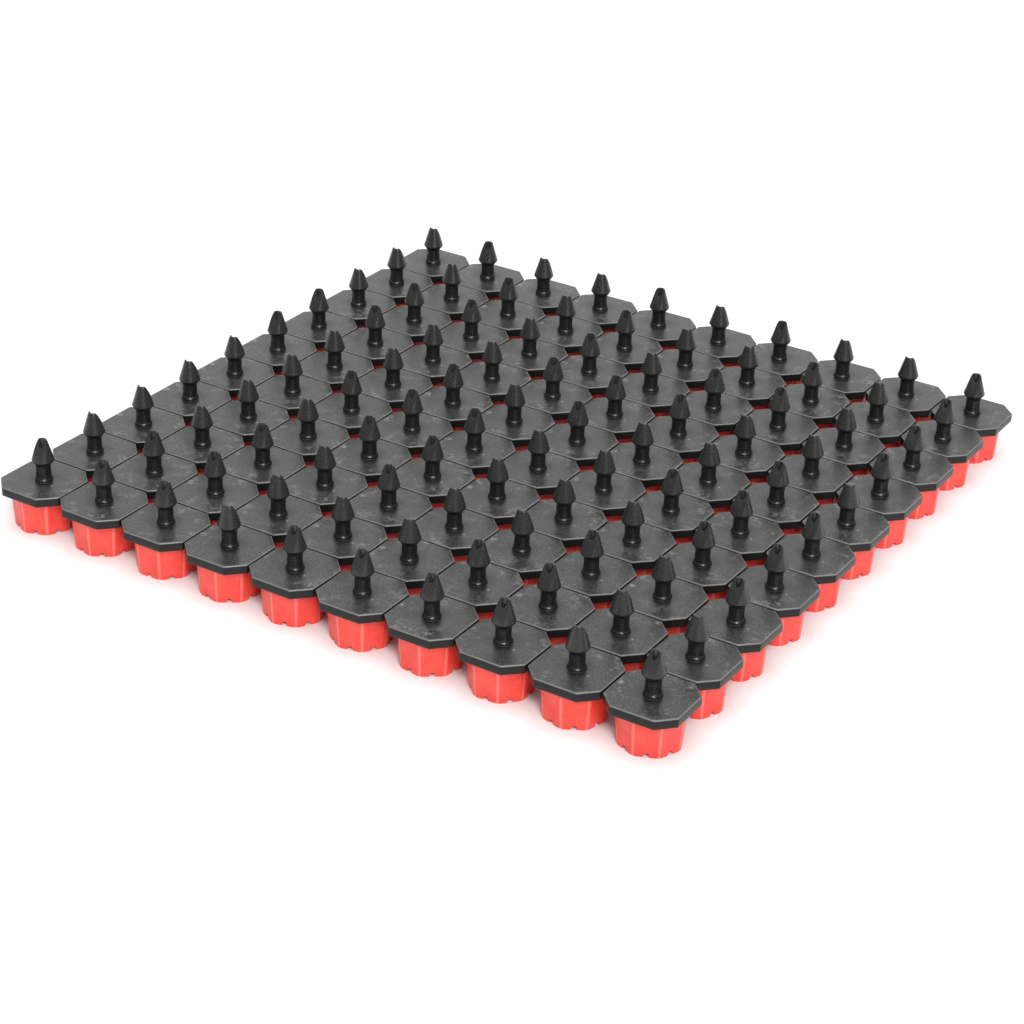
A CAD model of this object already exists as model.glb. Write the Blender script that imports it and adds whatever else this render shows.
"""Looks of a square block of adjustable drip emitters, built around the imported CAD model.

Each dripper is a black base, whose hose barb stands up, and a red screw cap under it. The same three moulded
shapes are made once and repeated, one mesh for each CAD node. Sizes are millimetres, and meshes are scaled to
metres when they are made. Places come from the CAD boxes.
"""
import math

import bpy
from mathutils import Matrix, Vector


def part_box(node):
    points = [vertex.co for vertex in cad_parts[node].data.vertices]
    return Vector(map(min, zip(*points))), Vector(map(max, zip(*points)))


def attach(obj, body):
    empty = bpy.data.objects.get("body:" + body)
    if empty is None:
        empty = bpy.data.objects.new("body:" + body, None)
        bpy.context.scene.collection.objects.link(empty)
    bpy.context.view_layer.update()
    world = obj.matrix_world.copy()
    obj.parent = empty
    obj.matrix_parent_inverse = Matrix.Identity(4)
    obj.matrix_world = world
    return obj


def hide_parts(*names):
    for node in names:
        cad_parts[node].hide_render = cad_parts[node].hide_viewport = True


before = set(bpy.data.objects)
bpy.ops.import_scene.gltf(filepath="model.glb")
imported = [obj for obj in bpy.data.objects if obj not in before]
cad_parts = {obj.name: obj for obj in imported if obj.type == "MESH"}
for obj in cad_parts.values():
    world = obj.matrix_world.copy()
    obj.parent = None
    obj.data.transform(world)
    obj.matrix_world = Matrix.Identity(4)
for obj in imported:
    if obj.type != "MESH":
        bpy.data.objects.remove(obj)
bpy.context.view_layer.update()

MM = 0.001

# ---------------------------------------------------------------- dimensions, as in the CAD model
FLANGE_W = 20.6
FLANGE_T = 2.6
CORNER_CUT = 4.3
BARB_H = 12.0
FOOT_R = 2.5
NECK_R = 2.1
LIP_R = 3.1
BORE_R = 0.85
TIP_CUT = 29                        # slant of the cut across the tip, in degrees from the axis
CUT_OFF = 0.3                       # how far behind the barb's axis the cut starts
CUT_END = 5.2                       # height above the flange that the cut stays over
CUT_REACH = 8                       # how far the cutting block reaches, well past the lip
CAP_END_R, CAP_TOP_R = 8.3, 9.1
BAND_H = 0.9
FLAT_DEPTH = 0.4
OUTLETS = 8
LAY_SWING = 0.6
NOZZLE_R, SKIRT_R, SKIRT_WALL, SKIRT_H = 2.2, 6.2, 1.2, 6.0
BOSS_R, BOSS_Z, CHANNEL_Z, CAVITY_R, THREAD_R = 5.0, 1.8, 0.6, 6.2, 6.68
PIN_R, PIN_H = 0.65, 1.9

# Which way each barb's cut faces, by column of five and row: f is to the front, b to the back
FACING = ["fbbbbffbbb", "ffbbbbffbf", "fffbfbbffb", "bbbfffbbbb", "fbfffbffff"]
FRONT, BACK = -90, 90


# ---------------------------------------------------------------- layout, from the frame
SIDE = sum(name.startswith("base_row_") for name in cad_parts)
LAST = SIDE


def middle(node):
    low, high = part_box(node)
    return (low + high) / 2 / MM


COLUMN_X = [middle(f"cap_r1_c{col}").x for col in range(1, SIDE + 1)]
ROW_Y = [middle(f"cap_r{row}_c1").y for row in range(1, SIDE + 1)]
CAP_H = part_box("cap_r1_c1")[1].z / MM
PITCH = COLUMN_X[1] - COLUMN_X[0]
TOP_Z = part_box("base_row_1")[1].z / MM - BARB_H       # top of the flange
NOZZLE_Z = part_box("base_row_1")[0].z / MM


def spread(row, col, step):
    """From -1 to 1, uneven from one dripper to the next."""
    return math.sin(math.radians(step * (row * 7 + col * 13) + 40 * row * col))


def lay_turn(row, col):
    return LAY_SWING * spread(row, col, 61)


def cap_turn(row, col):
    return 20 + 18 * spread(row, col, 97)


# ---------------------------------------------------------------- mesh tools
def lofted(name, start, rings, end):
    """A closed mesh object through rings of the same number of points, with a single point at each end."""
    count = len(rings[0])
    points = [start] + [p for ring in rings for p in ring] + [end]
    faces = [(0, 1 + (k + 1) % count, 1 + k) for k in range(count)]
    for n in range(len(rings) - 1):
        low, high = 1 + n * count, 1 + (n + 1) * count
        faces += [(low + k, low + (k + 1) % count, high + (k + 1) % count, high + k) for k in range(count)]
    high = 1 + (len(rings) - 1) * count
    faces += [(len(points) - 1, high + k, high + (k + 1) % count) for k in range(count)]
    mesh = bpy.data.meshes.new(name)
    mesh.from_pydata(points, [], faces)
    return linked(name, mesh)


def prism(name, outline, depth):
    """A closed mesh object: outline, a list of (x, y), pushed from z = 0 to depth."""
    count = len(outline)
    points = [(x, y, z) for z in (0, depth) for x, y in outline]
    sides = [(k, (k + 1) % count, count + (k + 1) % count, count + k) for k in range(count)]
    faces = [tuple(reversed(range(count)))] + sides + [tuple(range(count, 2 * count))]
    mesh = bpy.data.meshes.new(name)
    mesh.from_pydata(points, [], faces)
    return linked(name, mesh)


def linked(name, mesh):
    obj = bpy.data.objects.new(name, mesh)
    bpy.context.scene.collection.objects.link(obj)
    return obj


def applied(obj):
    """The mesh of obj with its modifiers applied. The object is removed."""
    graph = bpy.context.evaluated_depsgraph_get()
    mesh = bpy.data.meshes.new_from_object(obj.evaluated_get(graph))
    bpy.data.objects.remove(obj)
    return mesh


def carve(obj, cutter):
    """Adds a Boolean that takes cutter out of obj."""
    cut = obj.modifiers.new("cut", "BOOLEAN")
    cut.operation = "DIFFERENCE"
    cut.solver = "EXACT"
    cut.object = cutter


def soften(obj, width, angle):
    """Adds a small round to every edge sharper than angle degrees."""
    bevel = obj.modifiers.new("soften", "BEVEL")
    bevel.width = width
    bevel.segments = 2
    bevel.limit_method = "ANGLE"
    bevel.angle_limit = math.radians(angle)
    bevel.harden_normals = False


# ---------------------------------------------------------------- the black base
RING = 72                           # points round a base
CORNER_R = 0.35                     # round of the flange's upright edges


def circle(radius, z, count=RING):
    return [
        (radius * math.cos(math.tau * k / count), radius * math.sin(math.tau * k / count), z)
        for k in range(count)
    ]


def flange_ring(inset, z):
    """The flange's outline, drawn in by inset: a square with cut corners and slightly rounded edges."""
    half = FLANGE_W / 2 - inset
    # Distance from the axis to a cut corner's face
    slant = (FLANGE_W - CORNER_CUT) / math.sqrt(2) - inset
    cut = slant * math.sqrt(2) - half
    radius = max(CORNER_R - inset, 0.1)
    reach = radius / math.cos(math.radians(22.5))

    def corner(x, y, first):
        """Four points of the round at a corner, whose faces' normals point at first and first + 45 degrees."""
        way = math.radians(first + 22.5)
        cx, cy = x - reach * math.cos(way), y - reach * math.sin(way)
        angles = [math.radians(first + turn) for turn in (0, 15, 30, 45)]
        return [(cx + radius * math.cos(a), cy + radius * math.sin(a)) for a in angles]

    lower = corner(half, cut, 0)
    upper = corner(cut, half, 45)
    edge = lower[0][1]
    quarter = [(half, edge * n / 4) for n in range(4)] + lower
    quarter += [
        tuple(a + (b - a) * n / 4 for a, b in zip(lower[3], upper[0])) for n in (1, 2, 3)
    ]
    quarter += upper + [(edge * n / 4, half) for n in (3, 2, 1)]
    points = []
    for turn in (0, 90, 180, 270):
        c, s = round(math.cos(math.radians(turn))), round(math.sin(math.radians(turn)))
        points += [(x * c - y * s, x * s + y * c, z) for x, y in quarter]
    return points


def between(ring_a, ring_b, share):
    return [tuple(p + (q - p) * share for p, q in zip(a, b)) for a, b in zip(ring_a, ring_b)]


# Outside of the barb from the flange up: radius and height above the flange
BARB_PROFILE = [
    (4.6, 0.0), (3.9, -0.05), (3.3, -0.1), (2.85, -0.13), (2.58, -0.12), (2.44, -0.04),
    (2.46, 0.08), (FOOT_R, 0.22), (FOOT_R, 0.38), (2.46, 0.52), (2.37, 0.65), (2.25, 0.76), (2.16, 0.9),
    (2.11, 1.15), (2.08, 1.5), (2.06, 1.9), (2.05, 2.4), (2.05, 3.2), (2.06, 4.0), (NECK_R, 4.6),
    (2.14, 4.72), (2.24, 4.84), (2.6, 5.3), (2.92, 5.72), (3.05, 5.9),
    (LIP_R, 6.02), (LIP_R, 6.16), (3.05, 6.32), (2.95, 6.64), (2.72, 7.4), (2.42, 8.4), (2.12, 9.4),
    (1.82, 10.4), (1.53, 11.4), (1.38, 11.86), (1.33, 11.96), (1.25, BARB_H), (1.05, BARB_H),
]


def base_shape(name, facing):
    """The black moulding: flange, barb, skirt's core and nozzle. facing is the way its barb's cut faces."""
    under = -FLANGE_T
    skirt_end = under - SKIRT_H
    nozzle_end = NOZZLE_Z - TOP_Z
    inner_r = SKIRT_R - SKIRT_WALL
    rings = [circle(r, z) for r, z in (
        (NOZZLE_R - 0.2, nozzle_end), (NOZZLE_R, nozzle_end + 0.2), (NOZZLE_R, under), (inner_r, under),
        (inner_r, skirt_end), (SKIRT_R - 0.3, skirt_end), (SKIRT_R, skirt_end + 0.15), (SKIRT_R, under),
        (CAP_TOP_R, under),
    )]
    rings += [flange_ring(inset, z) for inset, z in (
        (0.14, under), (0.04, under + 0.04), (0, under + 0.14), (0, -0.36), (0.03, -0.22), (0.1, -0.12),
        (0.22, -0.03), (0.36, 0), (0.8, 0),
    )]
    rim, foot = rings[-1], circle(BARB_PROFILE[0][0], 0)
    rings += [between(rim, foot, share) for share in (0.33, 0.66)]
    rings += [circle(r, z) for r, z in BARB_PROFILE]
    obj = lofted(name, (0, 0, nozzle_end), rings, (0, 0, BARB_H))
    # Seen from the side: all that lies beyond the slanted face
    lean = math.tan(math.radians(TIP_CUT))
    low, high = [(-CUT_OFF + (BARB_H - z) * lean, z) for z in (CUT_END, BARB_H + 2)]
    cut = prism("cutter", [low, (CUT_REACH, CUT_END), (CUT_REACH, BARB_H + 2), high], 2 * CUT_REACH)
    cut.matrix_world = (
        Matrix.Rotation(math.radians(facing), 4, "Z")
        @ Matrix.Translation((0, CUT_REACH, 0))
        @ Matrix.Rotation(math.radians(90), 4, "X")
    )
    bore = prism("cutter", [p[:2] for p in circle(BORE_R, 0, 40)], 60)
    bore.matrix_world = Matrix.Translation((0, 0, -30))
    bpy.context.view_layer.update()
    for cutter in (cut, bore):
        carve(obj, cutter)
    soften(obj, 0.05, 38)
    mesh = applied(obj)
    for cutter in (cut, bore):
        bpy.data.objects.remove(cutter)
    return mesh


# ---------------------------------------------------------------- the red screw cap
# Degrees from the middle of a flat
SECTOR = (0, 9, 15.9, 16.8, 17.6, 18.5, 22.5, 26.5, 27.4, 28.2, 29.1, 36)


def cap_ring(z, flats=1.0, inset=0.0):
    """The cap's outline at height z: round, with flats cut to the given share of their depth."""
    radius = CAP_END_R + (CAP_TOP_R - CAP_END_R) * z / CAP_H
    points = []
    for n in range(OUTLETS):
        for degrees in SECTOR:
            away = math.radians(degrees if degrees <= 22.5 else 45 - degrees)
            flat = (radius - FLAT_DEPTH) / math.cos(away)
            r = radius - flats * max(radius - flat, 0) - inset
            turn = math.radians(45 * n + degrees)
            points.append((r * math.cos(turn), r * math.sin(turn), z))
    return points


def cap_circle(radius, z):
    angles = [math.radians(45 * n + degrees) for n in range(OUTLETS) for degrees in SECTOR]
    return [(radius * math.cos(a), radius * math.sin(a), z) for a in angles]


def cap_shape(name):
    flats_top = CAP_H - BAND_H
    rings = [cap_circle(r, z) for r, z in ((0.45, 0.1), (0.6, 0.22), (2.1, 0.22), (2.3, 0), (5, 0))]
    rings += [cap_ring(0), cap_ring(1.7), cap_ring(flats_top / 2 + 1), cap_ring(flats_top - 0.05)]
    rings += [cap_ring(z, 0.0, inset) for z, inset in (
        (flats_top + 0.08, 0.02), (flats_top + 0.16, 0.0), (CAP_H - 0.12, 0.0),
        (CAP_H - 0.03, 0.04), (CAP_H, 0.14),
    )]
    rings += [cap_circle(r, z) for r, z in (
        (THREAD_R + 0.1, CAP_H), (THREAD_R, CAP_H - 0.1), (THREAD_R, 4.7), (CAVITY_R, 4.1),
        (CAVITY_R, CHANNEL_Z), (BOSS_R, CHANNEL_Z), (BOSS_R, BOSS_Z), (PIN_R, BOSS_Z),
        (PIN_R / 2, BOSS_Z + PIN_H),
    )]
    obj = lofted(name, (0, 0, 0.1), rings, (0, 0, BOSS_Z + PIN_H))
    # Half of an outlet's outline: distance from its middle, and height
    half = [(0.76, -0.5), (0.75, 0.0), (0.7, 0.5), (0.62, 0.9), (0.5, 1.04), (0.3, 1.1)]
    outline = half + [(-x, y) for x, y in reversed(half)]
    cutters = []
    for n in range(OUTLETS):
        cutter = prism("cutter", outline, 12)
        cutter.matrix_world = (
            Matrix.Rotation(math.radians(45 * n), 4, "Z")
            @ Matrix.Translation((BOSS_R + 0.2, 0, 0))
            @ Matrix(((0, 0, 1, 0), (1, 0, 0, 0), (0, 1, 0, 0), (0, 0, 0, 1)))
        )
        cutters.append(cutter)
    bpy.context.view_layer.update()
    for cutter in cutters:
        carve(obj, cutter)
    soften(obj, 0.1, 40)
    mesh = applied(obj)
    for cutter in cutters:
        bpy.data.objects.remove(cutter)
    return mesh


# ---------------------------------------------------------------- repeating them
def tiled(name, copies, material, body, node):
    """One mesh object of several copies, each (shape, x, y, z, turn in degrees, tone from 0 to 1).

    Each point keeps its own dripper's place and tone in two attributes, which the materials read."""
    points, faces, spots, tones = [], [], [], []
    for shape, x, y, z, turn, tone in copies:
        place = Matrix.Translation((x, y, z)) @ Matrix.Rotation(math.radians(turn), 4, "Z")
        start = len(points)
        for v in shape.vertices:
            points.append(place @ v.co * MM)
            spots.append(v.co)
            tones.append(tone)
        faces += [tuple(start + k for k in face.vertices) for face in shape.polygons]
    mesh = bpy.data.meshes.new(name)
    mesh.from_pydata(points, [], faces)
    spot = mesh.attributes.new("spot", "FLOAT_VECTOR", "POINT")
    spot.data.foreach_set("vector", [c for p in spots for c in p])
    mesh.attributes.new("tone", "FLOAT", "POINT").data.foreach_set("value", tones)
    mesh.polygons.foreach_set("use_smooth", [True] * len(mesh.polygons))
    mesh.set_sharp_from_angle(angle=math.radians(34))
    mesh.materials.append(material)
    obj = linked(name, mesh)
    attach(obj, body)
    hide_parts(node)
    return obj


# ---------------------------------------------------------------- materials
class Nodes:
    """A material's node tree, with short calls for the nodes used here."""

    def __init__(self, name):
        self.material = bpy.data.materials.new(name)
        self.material.use_nodes = True
        self.tree = self.material.node_tree
        self.shader = self.tree.nodes["Principled BSDF"]

    def add(self, kind, inputs=(), **settings):
        node = self.tree.nodes.new(kind)
        for key, value in settings.items():
            setattr(node, key, value)
        for socket, value in dict(inputs).items():
            self.put(node.inputs[socket], value)
        return node

    def put(self, socket, value):
        if isinstance(value, bpy.types.NodeSocket):
            self.tree.links.new(value, socket)
        else:
            socket.default_value = value

    def math(self, operation, a, b=0.0, clamp=False):
        node = self.add("ShaderNodeMath", {0: a, 1: b}, operation=operation, use_clamp=clamp)
        return node.outputs[0]

    def ramp(self, value, low, high, to_low=0.0, to_high=1.0):
        """value eased from low to high, brought to the range from to_low to to_high."""
        node = self.add(
            "ShaderNodeMapRange",
            {"Value": value, "From Min": low, "From Max": high, "To Min": to_low, "To Max": to_high},
            interpolation_type="SMOOTHSTEP",
        )
        return node.outputs["Result"]

    def noise(self, where, scale, detail=2.0, roughness=0.5):
        node = self.add(
            "ShaderNodeTexNoise",
            {"Vector": where, "Scale": scale, "Detail": detail, "Roughness": roughness},
        )
        return node.outputs["Fac"]

    def mix(self, share, a, b):
        node = self.add("ShaderNodeMix", data_type="RGBA")
        for index, value in ((0, share), (6, a), (7, b)):
            self.put(node.inputs[index], value)
        return node.outputs[2]

    def away(self, where, point):
        """Distance from a point."""
        return self.add("ShaderNodeVectorMath", {0: where, 1: point}, operation="DISTANCE").outputs["Value"]

    def bump(self, height, distance, strength, normal=None):
        inputs = {"Height": height, "Distance": distance * MM, "Strength": strength}
        if normal is not None:
            inputs["Normal"] = normal
        return self.add("ShaderNodeBump", inputs).outputs["Normal"]

    def own_place(self):
        """Each dripper's own coordinates in millimetres, the same shifted so that no two have the same marks,
        the distance from its axis, the height and its tone."""
        spot = self.add("ShaderNodeAttribute", attribute_name="spot").outputs["Vector"]
        tone = self.add("ShaderNodeAttribute", attribute_name="tone").outputs["Fac"]
        apart = self.add("ShaderNodeVectorMath", {0: (310, 170, 90)}, operation="SCALE")
        self.put(apart.inputs["Scale"], tone)
        shifted = self.add("ShaderNodeVectorMath", {0: spot, 1: apart.outputs[0]}, operation="ADD").outputs[0]
        parts = self.add("ShaderNodeSeparateXYZ", {0: spot})
        x, y, z = parts.outputs
        radius = self.math("SQRT", self.math("ADD", self.math("MULTIPLY", x, x), self.math("MULTIPLY", y, y)))
        return spot, shifted, radius, z, tone


def black_plastic():
    n = Nodes("black_plastic")
    spot, where, radius, z, tone = n.own_place()
    grain = n.noise(where, 2.3, 2.0, 0.7)
    mottle = n.noise(where, 0.9, 4.0, 0.7)
    cloud = n.noise(where, 0.11, 2.0, 0.5)
    haze_spread = n.noise(where, 0.3, 2.0, 0.5)
    flat_top = n.math("MULTIPLY", n.ramp(z, -0.5, 0.02), n.ramp(z, 0.3, 0.1))
    open_top = n.math("MULTIPLY", flat_top, n.ramp(radius, 2.6, 6.0))
    rim = n.ramp(radius, 4.5, 10.5)
    # Pale haze in rubbed patches on the flange, broken up by the grain and stronger towards its edges
    haze = n.math("MULTIPLY", n.ramp(haze_spread, 0.46, 0.66), n.ramp(cloud, 0.42, 0.62))
    haze = n.math("MULTIPLY", haze, n.ramp(mottle, 0.38, 0.68))
    haze = n.math("MULTIPLY", n.math("MULTIPLY", haze, open_top), n.math("ADD", rim, 0.25, clamp=True))
    # Small pale specks of dust and moulding grain
    specks = n.math("MULTIPLY", n.ramp(grain, 0.52, 0.68), open_top)
    # Pale dot that an ejector pin leaves on some flanges, and a scuff beside one edge of others
    dot = n.math("MULTIPLY", n.ramp(n.away(spot, (4.4, -1.9, 0.0)), 0.42, 0.2), n.ramp(tone, 0.4, 0.45))
    scuff = n.math("MULTIPLY", n.ramp(n.away(spot, (-9.0, 0.5, 0.0)), 1.3, 0.3), n.ramp(tone, 0.62, 0.55))
    scuff = n.math("MULTIPLY", n.math("MULTIPLY", scuff, n.ramp(mottle, 0.35, 0.6)), open_top)
    # Upper edges rubbed pale
    edge = n.math("MULTIPLY", n.ramp(z, -0.36, -0.22), n.ramp(z, 0.0, -0.04))
    edge = n.math("MULTIPLY", edge, n.ramp(radius, 8.5, 9.5))
    body = n.mix(n.ramp(grain, 0.35, 0.7), (0.009, 0.0095, 0.0092, 1), (0.016, 0.0165, 0.016, 1))
    lighter = n.math("MULTIPLY", n.ramp(mottle, 0.3, 0.75, 0.2, 1.0), open_top)
    body = n.mix(lighter, body, (0.036, 0.0355, 0.0345, 1))
    body = n.mix(n.math("MULTIPLY", specks, 0.5), body, (0.17, 0.168, 0.162, 1))
    body = n.mix(n.math("MULTIPLY", haze, 0.7), body, (0.24, 0.24, 0.235, 1))
    body = n.mix(n.math("MULTIPLY", dot, 0.6), body, (0.3, 0.3, 0.295, 1))
    body = n.mix(n.math("MULTIPLY", scuff, 0.6), body, (0.3, 0.3, 0.295, 1))
    # The cone is a little paler than the neck
    body = n.mix(n.ramp(z, 5.8, 6.4), body, (0.027, 0.027, 0.0262, 1))
    body = n.mix(n.math("MULTIPLY", edge, 0.6), body, (0.24, 0.24, 0.235, 1))
    n.put(n.shader.inputs["Base Color"], body)
    # The barb came off a smoother part of the mould than the flange
    rough = n.math("ADD", n.math("MULTIPLY", grain, 0.25), n.ramp(z, 0.05, 0.3, 0.22, 0.13))
    rough = n.math("ADD", rough, n.math("MULTIPLY", haze, 0.15))
    n.put(n.shader.inputs["Roughness"], rough)
    # Upright sides are dull
    n.put(n.shader.inputs["Specular IOR Level"], n.ramp(z, -0.5, -0.3, 0.25, 0.5))
    # Moulded grain on the flange, faint turning rings on the neck
    rings = n.math("SINE", n.math("MULTIPLY", z, 14.0))
    neck = n.math("MULTIPLY", n.ramp(z, 0.9, 1.3), n.ramp(z, 4.9, 4.5))
    normal = n.bump(grain, 0.06, 0.5)
    normal = n.bump(n.math("MULTIPLY", rings, neck), 0.015, 0.5, normal)
    n.put(n.shader.inputs["Normal"], normal)
    n.shader.inputs["IOR"].default_value = 1.5
    return n.material


def red_plastic():
    n = Nodes("red_plastic")
    spot, where, radius, z, tone = n.own_place()
    grain = n.noise(where, 3.0, 2.0)
    cloud = n.noise(where, 0.25, 2.0)
    body = n.mix(n.ramp(cloud, 0.3, 0.7), (0.80, 0.052, 0.036, 1), (0.88, 0.075, 0.052, 1))
    # Rubbed a little paler in patches
    streak = n.math("MULTIPLY", n.ramp(n.noise(where, 0.8, 2.0), 0.5, 0.72), 0.14)
    body = n.mix(streak, body, (0.95, 0.16, 0.12, 1))
    # Pale line up each corner between two flats
    x, y, _ = n.add("ShaderNodeSeparateXYZ", {0: spot}).outputs
    corner = n.math("COSINE", n.math("MULTIPLY", n.math("ARCTAN2", y, x), 8.0))
    line = n.math("MULTIPLY", n.ramp(corner, -0.9, -0.99), n.ramp(radius, 7.0, 7.4))
    line = n.math("MULTIPLY", line, n.ramp(z, 9.4, 9.2))
    body = n.mix(n.math("MULTIPLY", line, 0.5), body, (0.95, 0.26, 0.22, 1))
    body = n.mix(n.math("MULTIPLY", n.ramp(z, 9.3, 9.5), 0.35), body, (0.95, 0.16, 0.12, 1))
    n.put(n.shader.inputs["Base Color"], body)
    n.put(n.shader.inputs["Roughness"], n.math("ADD", n.math("MULTIPLY", grain, 0.12), 0.34))
    n.put(n.shader.inputs["Normal"], n.bump(grain, 0.03, 0.3))
    n.shader.inputs["IOR"].default_value = 1.5
    return n.material


# ---------------------------------------------------------------- the object
def build():
    black, red = black_plastic(), red_plastic()
    bases = {"f": base_shape("base_front", FRONT), "b": base_shape("base_back", BACK)}
    cap = cap_shape("cap")

    def tone(row, col):
        return 0.5 + 0.5 * spread(row, col, 143)

    def base_copy(row, col):
        shape = bases[FACING[(col - 1) % 5][(row - 1) % 10]]
        return shape, COLUMN_X[col - 1], ROW_Y[row - 1], TOP_Z, lay_turn(row, col), tone(row, col)

    def cap_copy(row, col):
        return cap, COLUMN_X[col - 1], ROW_Y[row - 1], 0, cap_turn(row, col), tone(row, col)

    for row in range(1, LAST + 1):
        node = f"base_row_{row}"
        copies = [base_copy(row, col) for col in range(1, LAST + 1)]
        tiled(f"black_bases_row_{row}", copies, black, "block", node)
    for row in range(2, LAST):
        node = f"inner_caps_row_{row}"
        copies = [cap_copy(row, col) for col in range(2, LAST)]
        tiled(f"red_caps_row_{row}", copies, red, "block", node)
    for row in range(1, LAST + 1):
        for col in range(1, LAST + 1):
            if row in (1, LAST) or col in (1, LAST):
                node = f"cap_r{row}_c{col}"
                tiled(f"red_cap_r{row}_c{col}", [cap_copy(row, col)], red, node, node)


# ---------------------------------------------------------------- floor, light and camera
def floor():
    mesh = bpy.data.meshes.new("floor")
    reach = 4.0
    corners = [(-reach, -reach, 0), (reach, -reach, 0), (reach, reach, 0), (-reach, reach, 0)]
    mesh.from_pydata(corners, [], [(0, 1, 2, 3)])
    n = Nodes("pale_floor")
    n.shader.inputs["Base Color"].default_value = (0.9, 0.9, 0.9, 1)
    n.shader.inputs["Roughness"].default_value = 0.9
    n.shader.inputs["Specular IOR Level"].default_value = 0.1
    mesh.materials.append(n.material)
    linked("floor", mesh)


def soft_light(name, azimuth, elevation, spread_angle, strength):
    """A wide, even light from the direction given, the same all over the floor."""
    data = bpy.data.lights.new(name, "SUN")
    data.angle = math.radians(spread_angle)
    data.energy = strength
    light = bpy.data.objects.new(name, data)
    light.rotation_euler = seen_from(azimuth, elevation).to_track_quat("Z", "Y").to_euler()
    bpy.context.scene.collection.objects.link(light)


def seen_from(azimuth, elevation):
    """Unit vector towards a viewer at azimuth (0 looks along +Y) and elevation, in degrees."""
    a, e = math.radians(azimuth), math.radians(elevation)
    return Vector((math.sin(a) * math.cos(e), -math.cos(a) * math.cos(e), math.sin(e)))


def studio():
    scene = bpy.context.scene
    scene.view_settings.view_transform = "Standard"
    world = bpy.data.worlds.new("studio")
    world.use_nodes = True
    background = world.node_tree.nodes["Background"]
    background.inputs["Color"].default_value = (1.0, 1.0, 1.0, 1)
    background.inputs["Strength"].default_value = 0.22
    scene.world = world
    soft_light("overhead", 30, 80, 60, 2.1)
    soft_light("back", 211, 32, 60, 0.8)
    soft_light("front", 38, 42, 14, 1.3)
    soft_light("right", 52, 24, 16, 0.8)


def camera():
    """From the front right and above, slightly rolled. Places are in drippers, from the block's middle."""
    spacing = PITCH * MM
    level = Vector((0, 0, TOP_Z * MM))
    aim = level + Vector((0.88, -1.74, 0)) * spacing
    place = level + Vector((16.02, -26.68, 15.57)) * spacing
    data = bpy.data.cameras.new("camera")
    data.sensor_width = 36
    data.lens = 91.4
    data.clip_start = 0.01
    obj = bpy.data.objects.new("camera", data)
    roll = Matrix.Rotation(math.radians(2.1), 4, "Z")
    look = (place - aim).to_track_quat("Z", "Y").to_matrix().to_4x4()
    obj.matrix_world = Matrix.Translation(place) @ look @ roll
    bpy.context.scene.collection.objects.link(obj)
    bpy.context.scene.camera = obj


camera()
build()
floor()
studio()
